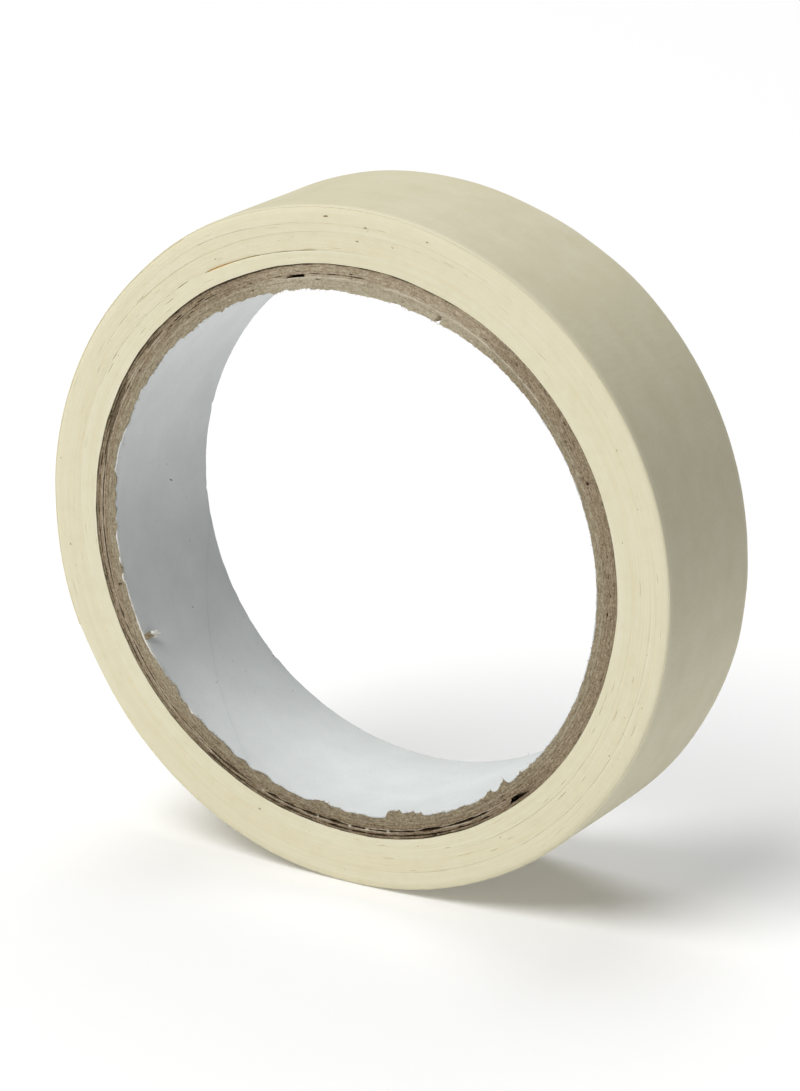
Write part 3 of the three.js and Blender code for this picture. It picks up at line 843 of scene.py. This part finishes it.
class Mat:
    """Short names for building a shader tree."""

    def __init__(self, name):
        self.m = bpy.data.materials.new(name)
        self.m.use_nodes = True
        self.nt = self.m.node_tree
        self.nt.nodes.clear()
        self.out = self.nt.nodes.new("ShaderNodeOutputMaterial")
        self.p = self.nt.nodes.new("ShaderNodeBsdfPrincipled")
        self.nt.links.new(self.p.outputs[0], self.out.inputs["Surface"])

    def set(self, socket, value):
        if isinstance(value, bpy.types.NodeSocket):
            self.nt.links.new(value, socket)
        else:
            socket.default_value = value

    def math(self, op, a, b=0.0, c=0.0, clamp=False):
        n = self.nt.nodes.new("ShaderNodeMath")
        n.operation, n.use_clamp = op, clamp
        for s, v in zip(n.inputs, (a, b, c)):
            self.set(s, v)
        return n.outputs[0]

    def vmul(self, v, scale):
        n = self.nt.nodes.new("ShaderNodeVectorMath")
        n.operation = "MULTIPLY"
        self.set(n.inputs[0], v)
        n.inputs[1].default_value = scale
        return n.outputs[0]

    def combine(self, x, y, z):
        n = self.nt.nodes.new("ShaderNodeCombineXYZ")
        for s, v in zip(n.inputs, (x, y, z)):
            self.set(s, v)
        return n.outputs[0]

    def split(self, v):
        n = self.nt.nodes.new("ShaderNodeSeparateXYZ")
        self.set(n.inputs[0], v)
        return n.outputs

    def object(self):
        n = self.nt.nodes.new("ShaderNodeTexCoord")
        return self.vmul(n.outputs["Object"], (1000, 1000, 1000))

    def uv(self):
        n = self.nt.nodes.new("ShaderNodeUVMap")
        n.uv_map = "Strip"
        return n.outputs[0]

    def attr(self, name):
        n = self.nt.nodes.new("ShaderNodeAttribute")
        n.attribute_name = name
        return n.outputs["Fac"]

    def noise(self, v, scale=1.0, detail=3.0, rough=0.55, w=None):
        n = self.nt.nodes.new("ShaderNodeTexNoise")
        n.noise_dimensions = "4D" if w is not None else "3D"
        self.set(n.inputs["Vector"], v)
        if w is not None:
            self.set(n.inputs["W"], w)
        n.inputs["Scale"].default_value = scale
        n.inputs["Detail"].default_value = detail
        n.inputs["Roughness"].default_value = rough
        return n.outputs["Fac"]

    def span(self, v, lo, hi, a=0.0, b=1.0, smooth=False):
        n = self.nt.nodes.new("ShaderNodeMapRange")
        n.interpolation_type = "SMOOTHSTEP" if smooth else "LINEAR"
        self.set(n.inputs[0], v)
        for k, x in zip((1, 2, 3, 4), (lo, hi, a, b)):
            n.inputs[k].default_value = x
        return n.outputs[0]

    def mix(self, f, a, b, kind="MIX"):
        n = self.nt.nodes.new("ShaderNodeMix")
        n.data_type, n.blend_type = "RGBA", kind
        self.set(n.inputs["Factor"], f)
        self.set(n.inputs[6], a)
        self.set(n.inputs[7], b)
        return n.outputs[2]

    def ramp(self, f, stops):
        n = self.nt.nodes.new("ShaderNodeValToRGB")
        self.set(n.inputs[0], f)
        e = n.color_ramp.elements
        while len(e) < len(stops):
            e.new(0.5)
        for k, (at, colour) in enumerate(stops):
            e[k].position, e[k].color = at, colour
        return n.outputs[0]

    def bump(self, height, distance, strength=1.0, normal=None):
        """distance is in metres for a height from 0 to 1."""
        n = self.nt.nodes.new("ShaderNodeBump")
        n.inputs["Strength"].default_value = strength
        n.inputs["Distance"].default_value = distance
        self.set(n.inputs["Height"], height)
        if normal is not None:
            self.set(n.inputs["Normal"], normal)
        return n.outputs[0]

    def polar(self):
        """cos, sin, radius and y in mm: a ring coordinate with no seam."""
        x, y, z = self.split(self.object())
        r = self.math("SQRT", self.math("ADD", self.math("MULTIPLY", x, x), self.math("MULTIPLY", z, z)))
        return self.math("DIVIDE", x, r), self.math("DIVIDE", z, r), r, y

    def finish(self, colour, roughness, normal=None, **fixed):
        self.set(self.p.inputs["Base Color"], colour)
        self.set(self.p.inputs["Roughness"], roughness)
        if normal is not None:
            self.set(self.p.inputs["Normal"], normal)
        for k, v in fixed.items():
            self.p.inputs[k.replace("_", " ")].default_value = v
        return self.m


def tape_side(name, base, pale, warm, seed):
    """The slit edges of the turns: fine rings of paper and adhesive."""
    k = Mat(name)
    c, s, r, y = k.polar()

    def rings(around_k, radial, w):
        return k.noise(k.combine(k.math("MULTIPLY", c, around_k), k.math("MULTIPLY", s, around_k),
                                 k.math("MULTIPLY_ADD", r, radial, seed)), 1.0, 3.0, 0.6, k.math("MULTIPLY", y, w))

    fine = rings(3.0, 7.5, 1.2)
    bands = rings(1.6, 1.1, 0.3)
    flecks = k.noise(k.vmul(k.object(), (1, 1, 1)), 5.5, 2.0, 0.5)
    patch = k.noise(k.object(), 0.55, 3.0, 0.5)
    colour = k.mix(k.span(bands, 0.32, 0.68), base, pale)
    colour = k.mix(k.math("MULTIPLY", k.span(fine, 0.42, 0.70), 0.34), colour, warm)
    colour = k.mix(k.math("MULTIPLY", k.span(patch, 0.45, 0.75), 0.22), colour, warm)
    colour = k.mix(k.math("MULTIPLY", k.span(flecks, 0.62, 0.82), 0.35), colour, lin("c9b98a"))
    deep = k.attr("deep")
    colour = k.mix(k.math("MULTIPLY", deep, 0.85), colour, lin("b19f42"))
    colour = k.mix(k.attr("amber"), colour, lin("e3a341"))
    grain = k.noise(k.object(), 9.0, 2.0, 0.6)
    normal = k.bump(fine, 0.000022, 0.7, k.bump(grain, 0.000012, 0.8))
    return k.finish(colour, k.span(fine, 0.3, 0.7, 0.62, 0.82), normal, Specular_IOR_Level=0.35)


def tape_back(name):
    """Creped paper back with its release coat; the underside carries the adhesive."""
    k = Mat(name)
    uv = k.uv()
    crepe_n = k.noise(k.vmul(uv, (2.6, 0.42, 1)), 1.0, 4.0, 0.62)
    fibre = k.noise(k.vmul(uv, (0.9, 7.5, 1)), 1.0, 3.0, 0.6)
    cross = k.noise(k.vmul(uv, (9.0, 1.2, 1)), 1.0, 2.0, 0.55)
    cloud = k.noise(k.vmul(uv, (0.16, 0.22, 1)), 1.0, 4.0, 0.55)
    pore = k.noise(k.vmul(uv, (4.0, 4.0, 1)), 1.0, 2.0, 0.5)
    colour = k.mix(k.span(cloud, 0.3, 0.7), lin("d5ceaf"), lin("dcd6bb"))
    # painted shade: darker in the low parts of the crepe wrinkles
    colour = k.mix(k.math("MULTIPLY", k.span(crepe_n, 0.36, 0.60, 1.0, 0.0), 0.20), colour, lin("d2caa8"))
    colour = k.mix(k.math("MULTIPLY", k.span(fibre, 0.52, 0.75), 0.20), colour, lin("f6f3e4"))
    colour = k.mix(k.math("MULTIPLY", k.span(pore, 0.66, 0.84), 0.30), colour, lin("c8bd93"))
    away = k.math("ABSOLUTE", k.split(k.object())[1])
    colour = k.mix(k.span(away, 10.5, 11.8, 0.0, 0.9, True), colour, lin("e6dfc3"))
    sticky = k.mix(k.span(cloud, 0.3, 0.7), lin("dfcf97"), lin("e6d8a4"))
    sticky = k.mix(k.math("MULTIPLY", k.span(crepe_n, 0.4, 0.6), 0.25), sticky, lin("cdb676"))
    under = k.attr("under")
    colour = k.mix(under, colour, sticky)
    rough = k.math("SUBTRACT", k.span(crepe_n, 0.3, 0.7, 0.66, 0.52), k.math("MULTIPLY", under, 0.26))
    normal = k.bump(crepe_n, 0.000024, 0.6, k.bump(cross, 0.000012, 0.7, k.bump(fibre, 0.000008, 0.6)))
    return k.finish(colour, rough, normal, Specular_IOR_Level=0.42)


def board(name, shade, seed, stops):
    """Grey-brown chipboard: short fibres lying along the ply, with dark and pale ones among them, and painted shade in
    small pits.
    """
    k = Mat(name)
    c, s, r, y = k.polar()

    def fibres(a, b, detail=3.0):
        return k.noise(k.combine(k.math("MULTIPLY", c, a), k.math("MULTIPLY", s, a), k.math("MULTIPLY_ADD", r, b, seed)),
                       1.0, detail, 0.65, k.math("MULTIPLY", y, b * 0.8))

    long = fibres(42.0, 4.6)
    short = fibres(130.0, 7.0)
    grain = k.noise(k.object(), 4.2, 3.0, 0.65)
    f = k.math("ADD", k.math("MULTIPLY", long, 0.26), k.math("MULTIPLY", short, 0.36))
    f = k.math("ADD", f, k.math("MULTIPLY", grain, 0.38))
    # this attribute carries the grain and the painted light and shade of the plies' faces and walls
    f = k.math("ADD", f, k.math("MULTIPLY", k.attr("grain_and_shade"), 0.10))
    f = k.math("SUBTRACT", f, k.math("MULTIPLY", k.attr("dark"), 0.24))
    f = k.math("ADD", f, shade)
    colour = k.ramp(f, [(at, lin(shade_hex)) for at, shade_hex in zip((0.27, 0.39, 0.49, 0.60, 0.76), stops)])
    # painted shade: small dark spots as of pits, with no relief under them
    pit_shade = k.noise(k.object(), 8.0, 2.0, 0.6)
    colour = k.mix(k.math("MULTIPLY", k.span(pit_shade, 0.64, 0.78), 0.45), colour, lin("5b4a36"))
    lights = k.noise(k.vmul(k.object(), (1, 1, 1)), 6.2, 2.0, 0.6)
    colour = k.mix(k.math("MULTIPLY", k.span(lights, 0.62, 0.74), 0.55), colour, lin("cfc5ad"))
    colour = k.mix(k.math("MULTIPLY", k.attr("pale"), k.span(short, 0.34, 0.56, 0.6, 1.0)), colour, lin("e6ddc9"))
    normal = k.bump(short, 0.000040, 0.6, k.bump(grain, 0.000030, 0.5))
    return k.finish(colour, k.span(grain, 0.3, 0.7, 0.97, 0.86), normal, Specular_IOR_Level=0.2)


def liner_paper(name):
    """Smooth white paper, slightly cold, with a calendered face."""
    k = Mat(name)
    o = k.object()
    cloud = k.noise(o, 0.16, 4.0, 0.55)
    mottle = k.noise(o, 1.5, 3.0, 0.6)
    fine = k.noise(o, 8.0, 2.0, 0.5)
    fleck = k.noise(k.vmul(o, (1, 1, 1)), 2.3, 1.0, 0.4)
    colour = k.mix(k.span(cloud, 0.3, 0.7), lin("d3d6d5"), lin("dcdfde"))
    colour = k.mix(k.math("MULTIPLY", k.span(mottle, 0.45, 0.7), 0.22), colour, lin("cfd5d6"))
    colour = k.mix(k.math("MULTIPLY", k.span(fleck, 0.76, 0.80), 0.35), colour, lin("9aa0a0"))
    # painted shade: greyer along the seam's groove
    colour = k.mix(k.math("MULTIPLY", k.attr("seam"), 0.16), colour, lin("aeb4b5"))
    colour = k.mix(k.math("MULTIPLY", k.attr("torn"), 0.8), colour, lin("f4f2ec"))
    normal = k.bump(mottle, 0.000012, 0.7, k.bump(fine, 0.000005, 0.6))
    return k.finish(colour, k.span(mottle, 0.3, 0.7, 0.46, 0.6), normal, Specular_IOR_Level=0.45)


def fluff(name, a, b, roughness=0.9):
    k = Mat(name)
    o = k.object()
    n1 = k.noise(o, 1.6, 3.0, 0.6)
    n2 = k.noise(o, 14.0, 2.0, 0.6)
    colour = k.mix(k.span(n1, 0.35, 0.65), a, b)
    colour = k.mix(k.math("MULTIPLY", k.span(n2, 0.5, 0.8), 0.4), colour, a)
    return k.finish(colour, k.span(n2, 0.3, 0.7, roughness - 0.06, roughness + 0.05), k.bump(n2, 0.00001, 0.6),
                    Specular_IOR_Level=0.25)


# ---- assemble --------------------------------------------------------------------------------------
def wear(ob, material, body="roll", replaces=()):
    ob.data.materials.append(material)
    if body:
        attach(ob, body)
    if replaces:
        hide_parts(*replaces)
    return ob


side_mats = [
    tape_side("tape_edges_inner", lin("eee8ca"), lin("f0ebd2"), lin("e1d6ac"), 0.0),
    tape_side("tape_edges_middle", lin("eee6c6"), lin("efe9cf"), lin("dfd3a6"), 40.0),
    tape_side("tape_edges_parted", lin("eee7c9"), lin("f0ead0"), lin("dfd4a8"), 80.0),
    tape_side("tape_edges_outer", lin("eee7c8"), lin("f0ead0"), lin("e3d8b0"), 120.0),
]
for number, turns in ((1, 18), (2, 19), (3, 7), (4, 14)):
    wear(tape_group(number, turns, 720), side_mats[number - 1], replaces=[f"tape_turns_{number}"])

back = tape_back("tape_creped_back")
wear(outer_turn(1560), back, replaces=["tape_turns_4"])
for k in range(1, 9):
    piece = strip_piece(k)
    piece.data.materials.append(back)
    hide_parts(f"tape_end_{k}")
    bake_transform(piece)

inner_board = ("483e2f", "7a6d57", "998c74", "b3a88f", "d6cdb9")
outer_board = ("46392a", "76664f", "97876f", "b3a48b", "d8cdb8")
shades = [("chipboard", 0.01), ("chipboard_light", 0.02), ("chipboard", 0.0), ("chipboard_light", 0.0), ("chipboard", -0.01),
          ("chipboard_dark", -0.025)]
for i, (slot, shade) in enumerate(shades):
    stops = inner_board if i < 2 else outer_board
    wear(ply(i, 1600 if i == 0 else 1300), board(f"chipboard_ply_{i + 1}", shade, 10.0 * i, stops),
         replaces=[f"core_ply_{i + 1}"])
wear(liner(1250), liner_paper("liner_paper"), replaces=["core_liner"])
wear(board_fibres(), fluff("board_fibre", lin("8d7d62"), lin("b7a98c")))
wear(white_fibres(), fluff("liner_fibre", lin("e4e2dc"), lin("f3f1ec")))
wear(liner_specks(), fluff("liner_speck", lin("6f7272"), lin("8f9291")))
wear(tear(), fluff("liner_shred_paper", lin("e6e4da"), lin("f4f2ea")))
wear(shred_root(), fluff("shred_board", lin("8f8064"), lin("b5a588")))
wear(bark_specks(), fluff("bark", lin("8a7448"), lin("a8946a")))

# ---- floor, light and camera -------------------------------------------------------------------------
lo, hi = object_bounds()
floor_mesh = bpy.data.meshes.new("floor")
floor_mesh.from_pydata([(-12, -12, lo.z), (12, -12, lo.z), (12, 12, lo.z), (-12, 12, lo.z)], [], [(0, 1, 2, 3)])
floor = bpy.data.objects.new("floor", floor_mesh)
bpy.context.scene.collection.objects.link(floor)
f = Mat("floor_white")
floor_mesh.materials.append(f.finish((0.88, 0.88, 0.88, 1), 0.9, Specular_IOR_Level=0.1,
                                     Emission_Color=(1, 1, 1, 1), Emission_Strength=0.14))
floor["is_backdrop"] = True


def area(name, azimuth, elevation, distance, size, power, colour=(1, 1, 1)):
    light = bpy.data.lights.new(name, "AREA")
    light.shape, light.size, light.energy, light.color = "DISK", size, power, colour
    ob = bpy.data.objects.new(name, light)
    a, e = math.radians(azimuth), math.radians(elevation)
    back_dir = Vector((math.sin(a) * math.cos(e), -math.cos(a) * math.cos(e), math.sin(e)))
    ob.location = back_dir * distance
    ob.rotation_euler = back_dir.to_track_quat("Z", "Y").to_euler()
    bpy.context.scene.collection.objects.link(ob)


area("key", -26, 58, 5.0, 3.6, 220, (1.0, 0.995, 0.985))
area("top", 200, 62, 5.0, 4.0, 112, (0.98, 0.99, 1.0))

world = bpy.data.worlds.new("studio")
bpy.context.scene.world = world
world.use_nodes = True
world.node_tree.nodes["Background"].inputs["Color"].default_value = (0.93, 0.96, 1.0, 1)
world.node_tree.nodes["Background"].inputs["Strength"].default_value = 0.02

cam_data = bpy.data.cameras.new("camera")
cam = bpy.data.objects.new("camera", cam_data)
bpy.context.scene.collection.objects.link(cam)
az, el, dist, focal = math.radians(29.73), math.radians(18.65), 0.5612, 4028.8
away = Vector((math.sin(az) * math.cos(el), -math.cos(az) * math.cos(el), math.sin(el)))
right = Vector((math.cos(az), math.sin(az), 0))
up = away.cross(right)
cam.location = away * dist
target = right * (8.2 / focal * dist) - up * (14.3 / focal * dist)
cam.rotation_mode = "QUATERNION"
cam.rotation_quaternion = (cam.location - target).to_track_quat("Z", "Y")
cam_data.sensor_width = 36.0
cam_data.lens = focal / 1091 * 36.0
cam_data.clip_start, cam_data.clip_end = 0.02, 60.0
bpy.context.scene.camera = cam
bpy.context.scene.view_settings.view_transform = "Standard"

lo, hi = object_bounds()
